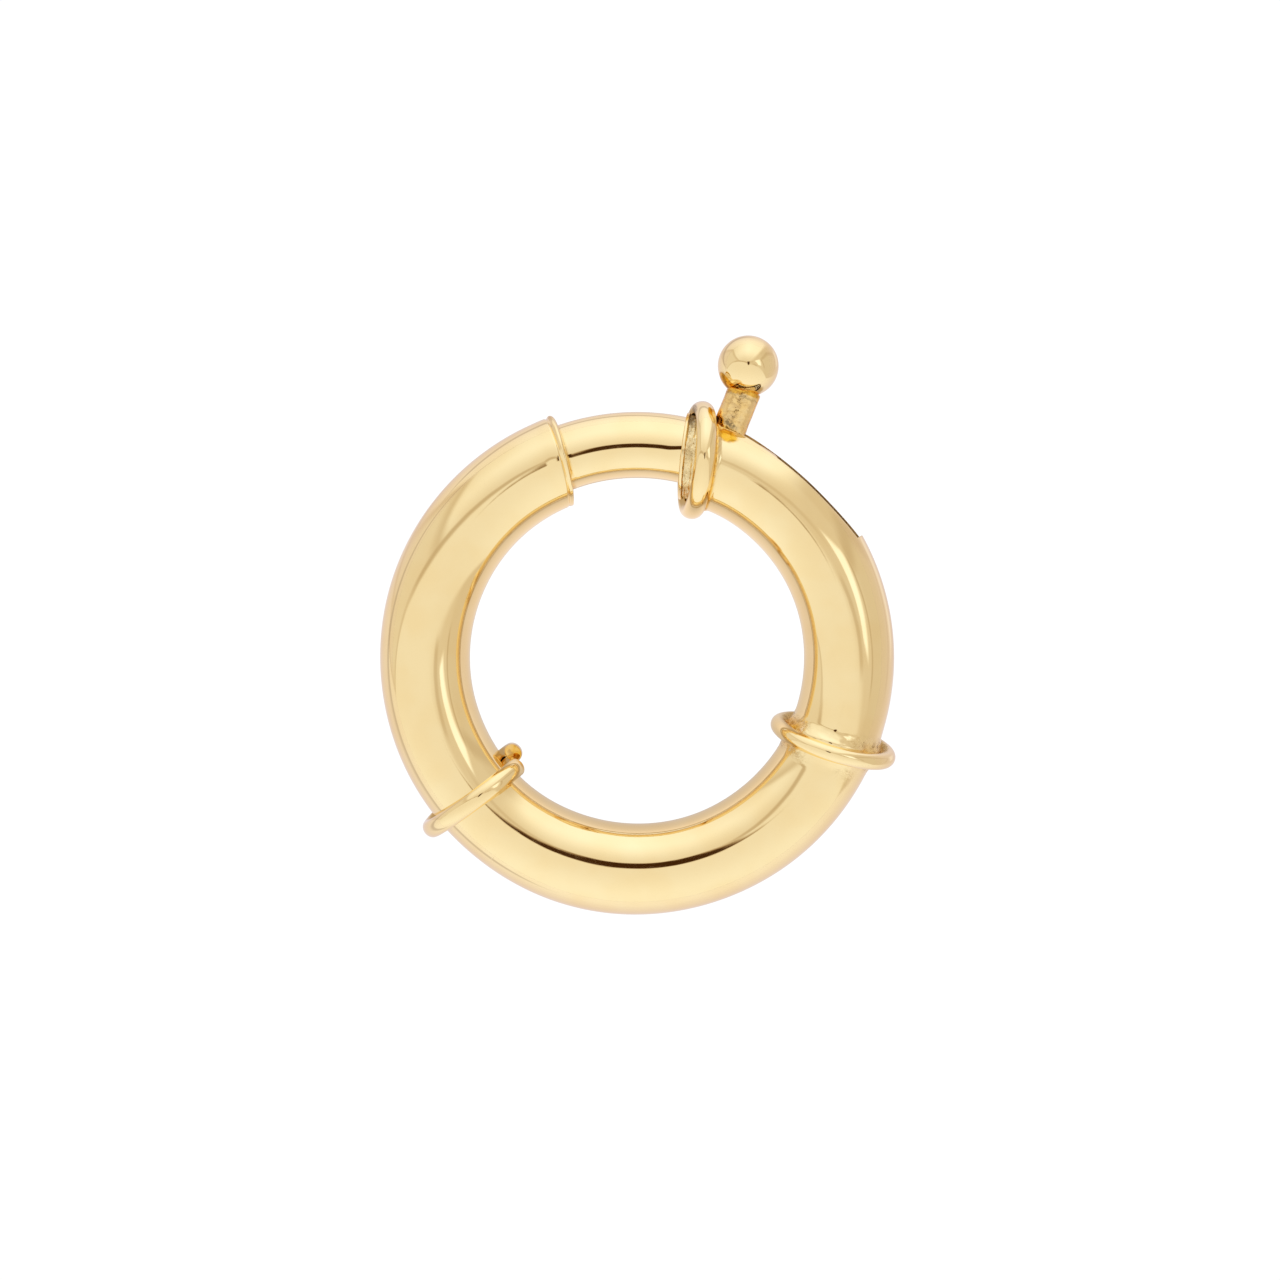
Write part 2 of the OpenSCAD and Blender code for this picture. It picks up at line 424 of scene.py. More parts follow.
def meet(th, r, place, offset, a):
    """The angle a at which the line of the skin at th, of radius r, meets a place's XZ plane moved along by offset."""
    a = np.full(th.shape, float(a))
    n = place.m @ np.array([0.0, 1.0, 0.0])
    for _ in range(6):
        f = (skin(a, th, r) - place.o) @ n - offset
        g = ((skin(a + 0.01, th, r) - place.o) @ n - offset - f) / 0.01
        a = a - f / g
    return a


SIDES = 128


def slot_edges(a):
    """Heights of the slot's lower and upper edges at angle a of the right arm's own bend: the cutter went deepest a third of the way along."""
    x = np.clip(np.asarray(a, float) - 360, SLOT_A0 - 360, SLOT_A1 - 360)
    low = np.where(x < 47.8, 1.03 - 0.43 * (abs(47.8 - x) / 18.6) ** 2.6, np.maximum(0.78, 1.03 - 8.45e-4 * (x - 47.8) ** 2))
    high = np.sqrt(TUBE**2 - (np.sqrt(TUBE**2 - low**2) - 0.12) ** 2)
    return -low, high


def ring_body(material, inside_shaded):
    # lines along the tube: the slot's two edges are two of them
    z_lo, z_hi = slot_edges(SLOT_A1)
    lo, hi = math.degrees(math.asin(z_lo / TUBE)), math.degrees(math.asin(z_hi / TUBE))
    blo, bhi = math.degrees(math.asin(z_lo / BORE)), math.degrees(math.asin(z_hi / BORE))
    inside = 16
    rest = SIDES - inside
    near = [0.35, 1.1, 2.4]
    th = list(np.linspace(lo, hi, inside + 1))
    th += [hi + d for d in near]
    th += list(np.linspace(hi + near[-1], 360 + lo - near[-1], rest - 2 * len(near) + 1)[1:])
    th += [360 + lo - d for d in near[:-1][::-1]]
    th = np.array(th)
    nv = len(th)
    bth = np.interp(th, [lo, hi, 360 + lo], [blo, bhi, 360 + blo])

    steps = [
        np.arange(110.9, 116, 0.15),
        np.arange(116, 329.6, 0.8),
        np.arange(329.6, 344, 0.3),
        np.arange(344, SLOT_A0 - 0.5, 0.8),
        [SLOT_A0 - 0.25, SLOT_A0 - 0.10, SLOT_A0 - 0.03, SLOT_A0],
        np.arange(SLOT_A0 + 0.5, 427, 0.7),
        np.arange(427, SLOT_A1 - 0.3, 0.3),
        [SLOT_A1 - 0.12, SLOT_A1, SLOT_A1 + 0.03, SLOT_A1 + 0.10, SLOT_A1 + 0.25],
        np.arange(SLOT_A1 + 0.45, 436.7, 0.2),
    ]
    a = np.concatenate(steps)
    n = len(a)
    s0, s1 = int(np.argmin(abs(a - SLOT_A0))), int(np.argmin(abs(a - SLOT_A1)))
    A, T0 = np.meshgrid(a, th, indexing="ij")
    ez_lo, ez_hi = slot_edges(a)
    bend_in = smooth(a, SLOT_A0 - 12, SLOT_A0)

    def warp(base_lo, base_hi, radius, base):
        """Lines of a section, moved so that two of them lie on the slot's edges."""
        e_lo = base_lo + (np.degrees(np.arcsin(ez_lo / radius)) - base_lo) * bend_in
        e_hi = base_hi + (np.degrees(np.arcsin(ez_hi / radius)) - base_hi) * bend_in
        return np.array([np.interp(base, [base_lo, base_hi, 360 + base_lo], [l, h, 360 + l]) for l, h in zip(e_lo, e_hi)])

    T = warp(lo, hi, TUBE, th)
    BT_ALL = warp(blo, bhi, BORE, bth)

    # both ends lie on their cuts, and the lines near them follow
    end_r = 1.69
    first = meet(th, np.full(nv, TUBE), LEFT_END, 0.12, 111.0)
    last = meet(th, np.full(nv, end_r), RIGHT_END, 0.055, 436.6)
    A = A + (first - a[0])[None] * (1 - smooth(A, a[0], a[0] + 10))
    wr = smooth(A, SLOT_A1 - 6, a[-1])
    hold = (th > lo - 0.01) & (th < hi + 3)  # the slot's end wall stays square
    A = A + (last - a[-1])[None] * wr
    for k in (s1,):
        A[k, hold] = SLOT_A1

    # the tube's section: slow unevenness of a hand-drawn tube, then the neck, the shoulder and the solder
    P = skin(A, T, np.full(A.shape, TUBE))
    flat = P.reshape(-1, 3)
    r = np.full(A.shape, TUBE)
    r = r + 0.006 * np.sin(np.radians(A * 3.1 + 40)) * np.cos(np.radians(T - 60))
    r = r + 0.004 * np.sin(np.radians(A * 7.3)) * np.cos(np.radians(2 * T + 20))
    mouth = LEFT_END.local(flat)[:, 1].reshape(A.shape)
    r = r - 0.050 * np.exp(-(((mouth - 0.270) / 0.035) ** 2)) * (A < 130)
    r = r + 0.011 * (1 - smooth(A, 111, 114.5)) + 0.006 * (1 - smooth(A, 111, 128))
    r = r + 0.038 * smooth(A, 416, 436) + 0.026 * smooth(A, 226, 254) * (1 - smooth(A, 262, 300))
    yc = COLLAR.local(flat)[:, 1].reshape(A.shape)
    near_collar = A > 420
    from_end = 0.055 - RIGHT_END.local(flat)[:, 1].reshape(A.shape)
    neck = smooth(yc, 0.16, 0.28) * near_collar
    rim = (1 - smooth(from_end, 0.12, 0.17)) * near_collar
    rough_noise = np.zeros(A.shape)
    pc = np.zeros(A.shape)
    zone = near_collar & (from_end < 1.2)
    lc = COLLAR.local(P[zone])
    pc[zone] = np.degrees(np.arctan2(lc[:, 2], lc[:, 0]))
    # turned streaks that run round the neck
    streak = np.stack([from_end[zone] * 9.0, lc[:, 0] * 0.9, lc[:, 2] * 0.9], axis=1)
    rough_noise[zone] = bumps(streak, 1.0, 1, 3) + 0.5 * bumps(P[zone], 8.0, 4, 3)
    r = np.where(near_collar, r * (1 - neck) + neck * (1.615 + 0.020 * rough_noise), r)
    r = np.where(near_collar, r * (1 - rim) + rim * (end_r + 0.010 + 0.003 * rough_noise), r)
    r = r - near_collar * (0.012 * (1 - smooth(from_end, 0.0, 0.07)) + 0.025 * (1 - smooth(from_end, 0.0, 0.02)))
    shoulder = np.exp(-((abs(yc + 0.425) / 0.105) ** 3.0)) * near_collar * (yc < 0.1)
    r = r + 0.070 * shoulder

    # solder between the eye ring and the tube
    le = EYE.local(flat)
    ye = le[:, 1].reshape(A.shape)
    pe = np.degrees(np.arctan2(le[:, 2], le[:, 0])).reshape(A.shape)
    near_eye = (A > 327) & (A < 347)
    inner = np.exp(-(((((pe - 172 + 180) % 360) - 180) / 36.0) ** 4))
    outer = np.exp(-((pe / 38.0) ** 4))
    win = np.maximum(inner, outer) * near_eye
    blob = np.zeros(A.shape)
    zone = near_eye & (abs(ye) < 1.3)
    blob[zone] = bumps(P[zone], 3.2, 2, 4)
    pit = np.zeros(A.shape)
    pit[zone] = bumps(P[zone], 8.0, 3, 3)
    spread = 0.34 + 0.10 * blob
    # a low sleeve of solder either side of the wire, across the front
    front = smooth(pe, 34, 62) * (1 - smooth(pe, 128, 152)) * near_eye
    u = np.clip((0.77 + 0.04 * blob - abs(ye)) / 0.47, 0, 1)
    sleeve = (0.05 * u + 0.12 * u * u) * front
    mound = np.maximum(0.26 * np.exp(-((abs(ye) / spread) ** 1.6)) * win, sleeve)
    r = r + mound + 0.016 * pit * win * np.exp(-((ye / 0.75) ** 4))
    worn_eye = win * (1 - smooth(abs(ye) + 0.16 * blob, 0.42, 0.78))
    worn_eye = np.maximum(
        worn_eye,
        0.30 * near_eye * (1 - smooth(abs(ye) + 0.1 * blob, 0.30, 0.50)) * (1 - smooth(pe, 34, 62) * (1 - smooth(pe, 128, 152))),
    )

    # edges of the slot are broken a little
    in_slot = (np.arange(n) >= s0) & (np.arange(n) <= s1)
    d_edge = np.minimum(abs(T0 - hi), abs(((T0 - lo + 180) % 360) - 180))
    soft = np.clip(1 - d_edge / 1.0, 0, 1) ** 2
    ends = np.ones(n)
    for s, side in ((s0, -1), (s1, 1)):
        k = np.arange(n)
        outside = (k < s0) if side < 0 else (k > s1)
        ends[outside] = np.clip(1 - abs(a[outside] - a[s]) / 0.12, 0, 1) ** 2
    in_band = (T0 >= lo - 1.2) & (T0 <= hi + 1.2)
    drop = np.where(
        in_slot[:, None],
        soft,
        np.where(in_band, ends[:, None] * np.maximum(0, 1 - np.maximum(0, np.maximum(T0 - hi, lo - T0))), 0),
    )
    r = r - 0.022 * drop
    P = skin(A, T, r)

    # bore: the same lines, fewer of them where nothing shows
    angle = np.degrees(np.arctan2(spine(a)[0][:, 1], spine(a)[0][:, 0])) % 360
    angle = np.where(a > 358, angle + np.where(angle < 200, 360, 0), angle)
    wall_l, wall_r = int(np.argmin(abs(a - STOP + WALL))), int(np.argmin(abs(a - STOP)))
    rows_l = [k for k in range(wall_l + 1) if a[k] < 116 or k % 4 == 0 or k == wall_l]
    rows_r = [k for k in range(wall_r, n) if a[k] > SLOT_A0 - 3 or k % 4 == 0 or k == wall_r]

    def bore(rows, rr=BORE):
        B = np.repeat(angle[rows][:, None], nv, axis=1)
        BT = BT_ALL[rows]
        t, s = np.radians(B), np.radians(BT)
        q = R0 + rr * np.cos(s)
        return np.stack([q * np.cos(t), q * np.sin(t), rr * np.sin(s)], axis=-1)

    def bore_end(place, offset, start):
        """The bore's last line, on the cut."""
        ang = np.full(nv, float(start))
        nn = place.m @ np.array([0.0, 1.0, 0.0])

        def f(x):
            t, s = np.radians(x), np.radians(bth)
            q = R0 + BORE * np.cos(s)
            p = np.stack([q * np.cos(t), q * np.sin(t), BORE * np.sin(s)], axis=-1)
            return (p - place.o) @ nn - offset, p

        for _ in range(6):
            v, _p = f(ang)
            g = (f(ang + 0.01)[0] - v) / 0.01
            ang = ang - v / g
        return f(ang)[1]

    points = [P.reshape(-1, 3)]
    count = n * nv
    slot_cell = lambda i, j: ~((i >= s0) & (i < s1) & (j < inside))
    quads, qi, qj = grid(n, nv, keep=slot_cell)
    faces = [quads]
    th_mm = np.append(th, th[0] + 360) * math.pi / 180 * TUBE
    a_mm = a * math.pi / 180 * R0
    uvs = [
        np.stack(
            [
                np.stack([a_mm[qi], a_mm[qi + 1], a_mm[qi + 1], a_mm[qi]], axis=1),
                np.stack([th_mm[qj], th_mm[qj], th_mm[qj + 1], th_mm[qj + 1]], axis=1),
            ],
            axis=2,
        ).reshape(-1, 2)
    ]
    inner_index = {}

    def add_bore(rows, place, offset, start, at_end):
        nonlocal count
        b = bore(rows)
        edge = bore_end(place, offset, start)
        b[at_end] = edge
        base = count
        points.append(b.reshape(-1, 3))
        count += b.shape[0] * nv
        index = {k: base + m * nv for m, k in enumerate(rows)}

        def keep(i, j):
            rr = np.array(rows)
            return ~((rr[i] >= s0) & (rr[i] < s1) & (j < inside))

        q, qi, qj = grid(len(rows), nv, keep=keep, flip=True, base=base)
        faces.append(q)
        am = np.array([a_mm[k] for k in rows])
        u = np.stack([am[qi], am[qi + 1], am[qi + 1], am[qi]], axis=1)[:, ::-1]
        v = np.stack([th_mm[qj], th_mm[qj], th_mm[qj + 1], th_mm[qj + 1]], axis=1)[:, ::-1] * 0.77
        uvs.append(np.stack([u, v], axis=2).reshape(-1, 2))
        return index

    left = add_bore(rows_l, LEFT_END, 0.12, 110.9, 0)
    right = add_bore(rows_r, RIGHT_END, 0.055, 76.7, -1)
    inner_index.update(left)
    inner_index.update(right)

    def strip(pairs_a, pairs_b, close):
        m = len(pairs_a)
        q = []
        for k in range(m if close else m - 1):
            k2 = (k + 1) % m
            q.append((pairs_a[k], pairs_a[k2], pairs_b[k2], pairs_b[k]))
        q = np.array(q)
        faces.append(q)
        uvs.append(np.tile([[0.0, 0.0], [0.1, 0.0], [0.1, 0.4], [0.0, 0.4]], (len(q), 1)))

    rowsr = [k for k in rows_r if s0 <= k <= s1]
    top = [k * nv + inside for k in rowsr]
    topb = [right[k] + inside for k in rowsr]
    # outer rows that the bore has none for don't occur here: every line of the slot is in both
    assert rowsr == list(range(s0, s1 + 1))
    strip(topb, top, False)
    strip([k * nv for k in rowsr], [right[k] for k in rowsr], False)
    strip([s0 * nv + j for j in range(inside + 1)][::-1], [right[s0] + j for j in range(inside + 1)][::-1], False)
    strip([s1 * nv + j for j in range(inside + 1)], [right[s1] + j for j in range(inside + 1)], False)
    # the two cut ends, and the two faces of the wall inside
    strip([j for j in range(nv)], [left[rows_l[0]] + j for j in range(nv)], True)
    strip([(n - 1) * nv + j for j in range(nv)][::-1], [right[rows_r[-1]] + j for j in range(nv)][::-1], True)
    caps = []
    for rows, index, row, turn in ((rows_l, left, -1, False), (rows_r, right, 0, True)):
        k = rows[row]
        mid = np.array([[R0 * math.cos(math.radians(angle[k])), R0 * math.sin(math.radians(angle[k])), 0.0]])
        points.append(mid)
        c = count
        count += 1
        for j in range(nv):
            x, y = index[k] + j, index[k] + (j + 1) % nv
            caps.append((y, x, c) if turn else (x, y, c))
    all_faces = [tuple(f) for q in faces for f in q.tolist()] + caps
    uv = np.vstack(uvs + [np.zeros((3 * len(caps), 2))])
    pts = np.vstack(points)
    worn = np.zeros(len(pts))
    w = np.maximum(worn_eye, neck * smooth(from_end, 0.11, 0.17) * 0.55)
    w = np.maximum(w, 0.5 * drop)
    # dull patches at the sleeve's ends
    patch = np.exp(-(((ye - 0.50) / 0.22) ** 2 + ((pe - 44) / 15) ** 2))
    patch = np.maximum(patch, 0.7 * np.exp(-(((ye + 0.74) / 0.16) ** 2 + ((pe - 62) / 16) ** 2)))
    patch = np.maximum(patch, 0.7 * np.exp(-(((ye + 0.62) / 0.20) ** 2 + ((pe - 126) / 11) ** 2)))
    patch = np.maximum(patch, 0.8 * np.exp(-(((ye - 0.46) / 0.20) ** 2 + ((pe - 140) / 13) ** 2))) * near_eye
    w = np.maximum(w, patch)
    worn[: n * nv] = w.ravel()
    # the bore's points are marked dull and dark, so the mouths darken towards the bore
    worn[n * nv :] = 0.45
    stain_and_shade = np.zeros(len(pts))
    # the neck: rough dark metal, with painted shadow over its outer side at the gap under the collar
    dark = neck * smooth(from_end, 0.11, 0.17)
    top = 1 - smooth(pc, 22, 62)
    stain_and_shade[: n * nv] = (dark * (0.16 + 0.10 * rough_noise + 0.75 * top)).clip(0, 1).ravel()
    stain_and_shade[n * nv :] = 0.35
    # painted orange reflection of gold on gold in the crevices: along the collar's foot, at the rim's edge, about the
    # eye ring and in a patch by the slot's end
    amber_and_bounce = np.zeros(len(pts))
    foot = near_collar * (yc < 0) * smooth(yc + 0.50, 0.0, 0.06)
    foot = foot * np.maximum(0.9 * smooth(pc, 132, 146), 0.8 * (1 - smooth(pc, 40, 52)))
    edge = near_collar * (1 - smooth(from_end, 0.0, 0.03)) * (0.55 + 0.5 * rough_noise)
    edge = np.maximum(edge, 0.9 * near_collar * (1 - smooth(from_end, 0.10, 0.16)) * (1 - smooth(abs(pc - 22), 6, 16)))
    eye_bounce = np.exp(-((abs(ye) / 0.46) ** 4)) * near_eye * np.maximum(smooth(pe, 134, 150), 0.35 * (1 - smooth(pe, 38, 55)))
    slot_bounce = 1 - smooth(np.hypot((A - 429.3) / 2.9, (T - 47.5) / 11.0), 0.75, 1.0)
    amber_and_bounce[: n * nv] = np.maximum(np.maximum(np.maximum(foot, edge), eye_bounce), slot_bounce).clip(0, 1).ravel()
    o = make("ring_body", pts, all_faces, material, uv, {"worn": worn, "stain_and_shade": stain_and_shade, "amber_and_bounce": amber_and_bounce}, sharp=50)
    # the bore, its end walls and the slot's cut faces are bare and dull, and painted dark brown as shade inside the
    # tube; the two mouths are gold
    o.data.materials.append(inside_shaded)
    sizes = [len(q) for q in faces] + [len(caps)]
    kinds = [0, 1, 1, 1, 1, 1, 1, 0, 0, 1]
    assert len(sizes) == len(kinds) and sum(sizes) == len(o.data.polygons)
    o.data.polygons.foreach_set("material_index", np.repeat(kinds, sizes).astype(np.int32))
    return o


def torus(name, place, mean, half_out, half_along, material, sides=48, steps=220, wobble=0.0, worn=None, shift=0.0, amber_and_bounce=None, stain_and_shade=None):
    """A closed wire ring round the tube, with a section that may be a little flat."""
    ang = np.arange(steps) * 360 / steps
    c, out, axis = ring_frame(place, mean, ang)
    c = c + axis * np.reshape(shift, (-1, 1))
    th = np.radians(np.arange(sides) * 360 / sides)
    ho = np.broadcast_to(half_out, (steps,)) if np.ndim(half_out) == 0 else half_out
    ha = np.broadcast_to(half_along, (steps,)) if np.ndim(half_along) == 0 else half_along
    pts = (
        c[:, None]
        + out[:, None] * (ho[:, None, None] * np.cos(th)[None, :, None])
        + axis[:, None] * (ha[:, None, None] * np.sin(th)[None, :, None])
    )
    if wobble:
        w = bumps(pts.reshape(-1, 3), 1.1, 5, 2).reshape(steps, sides)
        pts = pts + (out[:, None] * np.cos(th)[None, :, None] + axis[:, None] * np.sin(th)[None, :, None]) * (wobble * w)[..., None]
    flat = pts.reshape(-1, 3)
    quads, i, j = grid(steps, sides, wrap_u=True)
    u = np.stack([i, i + 1, i + 1, i], axis=1) * 2 * math.pi * mean / steps
    v = np.stack([j, j, j + 1, j + 1], axis=1) * 2 * math.pi * float(np.mean(ho)) / sides
    p = flat[quads[0]]
    if np.dot(np.cross(p[1] - p[0], p[2] - p[1]), p.mean(axis=0) - c[0]) < 0:
        quads, u, v = quads[:, ::-1], u[:, ::-1], v[:, ::-1]
    uv = np.stack([u, v], axis=2).reshape(-1, 2)
    marks = {k: f(flat) if f else np.zeros(len(flat)) for k, f in (("worn", worn), ("stain_and_shade", stain_and_shade), ("amber_and_bounce", amber_and_bounce))}
    return make(name, flat, quads.tolist(), material, uv, marks)


def round_pipe(place, points):
    """Angle round the tube, distance from its centre line, and place along it."""
    l = place.local(points)
    return np.degrees(np.arctan2(l[:, 2], l[:, 0])), np.hypot(l[:, 0], l[:, 2]), l[:, 1]


# ---------------------------------------------------------------- build


def seam(n, mm):
    """A short hairline joint across the tube's outer side, lower left."""
    sep = n.add("ShaderNodeSeparateXYZ")
    n.put(sep.inputs[0], mm)
    x, y = sep.outputs[0], sep.outputs[1]
    ang = math.radians(234.2)
    # distance along the tube from the joint, and out from the ring's middle
    along = n.m("ADD", n.m("MULTIPLY", x, -math.sin(ang)), n.m("MULTIPLY", y, math.cos(ang)))
    far = n.m("ADD", n.m("MULTIPLY", x, math.cos(ang)), n.m("MULTIPLY", y, math.sin(ang)))
    wave = n.m("MULTIPLY", n.m("SINE", n.m("MULTIPLY", far, 5.0)), 0.03)
    d = n.m("ABSOLUTE", n.m("ADD", along, wave))
    thin = n.ramp(d, 0.035, 0.012)
    return n.m("MULTIPLY", n.m("MULTIPLY", thin, n.ramp(far, 9.30, 9.42)), -1.0)


MARKS = ("worn", "stain_and_shade", "amber_and_bounce")
body_gold = gold("gold_ring", 0.035, marks=MARKS, line=seam)
wire_gold = gold("gold_wire", 0.04, marks=MARKS, scratches=0.7)
jump_gold = gold("gold_jump_ring", 0.04, marks=MARKS, scratches=0.6)
tongue_gold = gold("gold_tongue", 0.035, marks=MARKS, scratches=0.5)
lever_gold = gold("gold_lever", 0.04, marks=MARKS, scratches=0.5)
spring_steel = steel("spring_steel")

# the tube's inside: dull, in dark brown tones that paint the shade inside the tube
inside_gold_shaded = gold("gold_inside_shaded", 0.22, dull=0.4, scratches=0.3, tones=((0.50, 0.30, 0.10), (0.33, 0.19, 0.06)))
ring_body_o = ring_body(body_gold, inside_gold_shaded)

# the rolled lip of the left end: wider on the outer side, thin on the inner side
steps = 220
p = np.arange(steps) * 360 / steps
side = (1 + np.cos(np.radians(p))) / 2
lip = torus(
    "rim_lip",
    Place(110.3, R0, 0.0, 6.2, -5.1),
    1.56,
    0.225 + 0.03 * np.exp(-(((p - 180) / 22.0) ** 2)),
    0.088 + 0.062 * side,
    wire_gold,
    sides=32,
    steps=steps,
    wobble=0.010,
    shift=0.155 - 0.045 * side,
    worn=lambda q: 0.5 * (1 - smooth(abs(round_pipe(LEFT_END, q)[0]), 16, 34)),
    # painted orange reflection along the lip's contact with the tongue, fainter on its outer side
    amber_and_bounce=lambda q: 0.8 * (1 - smooth(abs(abs(round_pipe(LEFT_END, q)[0]) - 163), 4, 13)) + 0.35 * (1 - smooth(abs(round_pipe(LEFT_END, q)[0]), 16, 30)),
)
lip_at = LEFT_END.m @ np.array([-0.05, 0.0, 0.0])
lip.data.transform(Matrix.Translation(Vector(lip_at * SMALL)))



def bounce_at_collar(points):
    # painted orange reflection on the collar's flanks near the tube, at its top and on its lower side
    pe, rad, y = round_pipe(COLLAR, points)
    flank = 1 - smooth(rad, 1.90, 2.06)
    top = 1 - smooth(abs(pe - 34), 10, 24)
    low = smooth(pe, 118, 136) * (1 - smooth(pe, 168, 178))
    right, lft = smooth(-y, 0.10, 0.24), smooth(y, 0.16, 0.30)
    return np.maximum(flank * right * np.maximum(top, low), 0.85 * flank * lft * low)


def shadow_at_collar(points):
    # a painted shadow on the collar's side towards the neck, by its outer top, at the gap over the neck
    pe, rad, y = round_pipe(COLLAR, points)
    return (1 - smooth(abs(pe - 12), 8, 20)) * smooth(y, 0.37, 0.42) * 0.95


collar = torus("collar_wire", COLLAR, 1.985, 0.325, 0.40, wire_gold, wobble=0.006, shift=0.047, amber_and_bounce=bounce_at_collar, stain_and_shade=shadow_at_collar)


def worn_at_eye(points):
    l = EYE.local(points)
    pe = np.degrees(np.arctan2(l[:, 2], l[:, 0]))
    rad = np.hypot(l[:, 0], l[:, 2])
    inner = np.exp(-(((((pe - 172 + 180) % 360) - 180) / 38.0) ** 4))
    outer = np.exp(-((pe / 40.0) ** 4))
    return np.maximum(inner, outer) * (1 - smooth(rad, 2.10, 2.28)) * 0.9


def bounce_at_eye(points):
    # painted orange reflection on the eye ring's upper inner side, next to the tube
    pe, rad, y = round_pipe(EYE, points)
    return (1 - smooth(rad, 2.00, 2.16)) * smooth(pe, 118, 142) * (1 - smooth(pe, 172, 179))


eye = torus("eye_wire", EYE, 2.21, 0.32, 0.32, wire_gold, wobble=0.006, worn=worn_at_eye, amber_and_bounce=bounce_at_eye)


# the loose jump ring: one wire whose ends pass each other at the inner side
def jump_ring():
    mean, wire, spread = 2.2, 0.3, 0.5
    half = math.asin(spread / 2 / (2 * mean))
    ang = np.linspace(-192, 150, 260)  # the back half is below zero, the front half above
    c, o, x = [], [], []
    for q in ang:
        t = math.radians(q)
        turn = -math.degrees(half) * math.tanh(q / 9.0)
        m = rz(turn)
        loc = np.array([mean * math.cos(t), 0.0, mean * math.sin(t)])
        pivot = np.array([mean, 0.0, 0.0])
        loc = m @ (loc - pivot) + pivot
        out = m @ np.array([math.cos(t), 0.0, math.sin(t)])
        c.append(JUMP.out(loc))
        o.append(JUMP.m @ out)
        x.append(JUMP.m @ (m @ np.array([0.0, 1.0, 0.0])))
    n = len(ang)
    rad = np.full(n, wire)
    # sawn ends with a small broken edge
    centres, outs, axes = np.array(c), np.array(o), np.array(x)
    along = np.gradient(centres, axis=0)
    along /= np.linalg.norm(along, axis=1)[:, None]
    head = [(0.045, 0.0), (0.015, 0.012), (0.0, 0.045)]
    cs = [centres[0] - along[0] * (0.05 - d) for d, _ in head[::-1]] + list(centres) + [centres[-1] + along[-1] * (0.05 - d) for d, _ in head]
    os_ = [outs[0]] * 3 + list(outs) + [outs[-1]] * 3
    xs = [axes[0]] * 3 + list(axes) + [axes[-1]] * 3
    rs = [wire - e for _, e in head[::-1]] + list(rad) + [wire - e for _, e in head]
    rs = np.array(rs)
    pts, faces, uv = sweep(cs, os_, xs, rs, rs * 1.22, 48)
    # painted orange reflection at the two sawn ends
    end = np.maximum(1 - smooth(np.linalg.norm(pts - cs[0], axis=1), 0.30, 0.42), 1 - smooth(np.linalg.norm(pts - cs[-1], axis=1), 0.30, 0.40))
    lum = bumps(pts, 3.0, 9, 3)
    return make("jump_wire", pts, faces, jump_gold, uv, {"worn": 0.0 * end, "stain_and_shade": 0.0 * end, "amber_and_bounce": end * (0.75 + 0.4 * lum).clip(0, 1)}, sharp=50)


jump = jump_ring()


# the tongue: a curved bolt with rounded ends
def tongue():
    mm_deg = 180 / math.pi / R0
    c = 0.22
    prof = [(0.0, 0.30), (0.012, 0.20), (0.05, 0.11), (0.11, 0.05), (0.18, 0.012), (0.26, 0.0)]
    a = [TAIL + d * mm_deg for d, _ in prof]
    r = [BOLT - e for _, e in prof]
    mid = np.arange(TAIL + 0.6 * mm_deg, TIP - 0.5 * mm_deg, 0.4)
    a += list(mid)
    r += [BOLT] * len(mid)
    a += [TIP - d * mm_deg for d, _ in prof[::-1]]
    r += [BOLT - e for _, e in prof[::-1]]
    a, r = np.array(a), np.array(r)
    centre, out, up = arc_frame(a)
    r = r + 0.0025 * np.sin(np.radians(a * 9.0))
    pts, faces, uv = sweep(centre, out, up, r, r, 112)
    ang = np.degrees(np.arctan2(pts[:, 1], pts[:, 0]))
    lean = 0.13 * np.clip(pts[:, 2] / BOLT, 0, 1) ** 2 * smooth(ang, 76, 82) * (1 - smooth(ang, 108, 110.5))
    pts[:, :2] *= (1 - lean / np.hypot(pts[:, 0], pts[:, 1]))[:, None]
    # rubbed where it slides in the left end, dull on its hidden stretch
    edge = -LEFT_END.local(pts)[:, 1]
    rub = np.exp(-(((edge + 0.0) / 0.05) ** 2)) * 0.3
    hidden = 0.35 * (1 - smooth(ang, 74, 78))
    # painted contact shadow and orange reflection where it enters the left end, the shadow stronger and the orange
    # fainter on its outer top
    side = smooth(pts[:, 2], 0.3, 1.1) * smooth(np.hypot(pts[:, 0], pts[:, 1]) - R0, -0.3, 0.5)
    stain_and_shade = np.exp(-(((edge + 0.02 - 0.03 * side) / 0.04) ** 2)) * (0.30 + 0.45 * side)
    amber_and_bounce = np.exp(-(((edge + 0.02 - 0.03 * side) / 0.095) ** 4)) * (1 - 0.5 * side)
    return make("tongue_bolt", pts, faces, tongue_gold, uv, {"worn": np.maximum(rub, hidden), "stain_and_shade": stain_and_shade, "amber_and_bounce": amber_and_bounce}, sharp=60)


bolt = tongue()


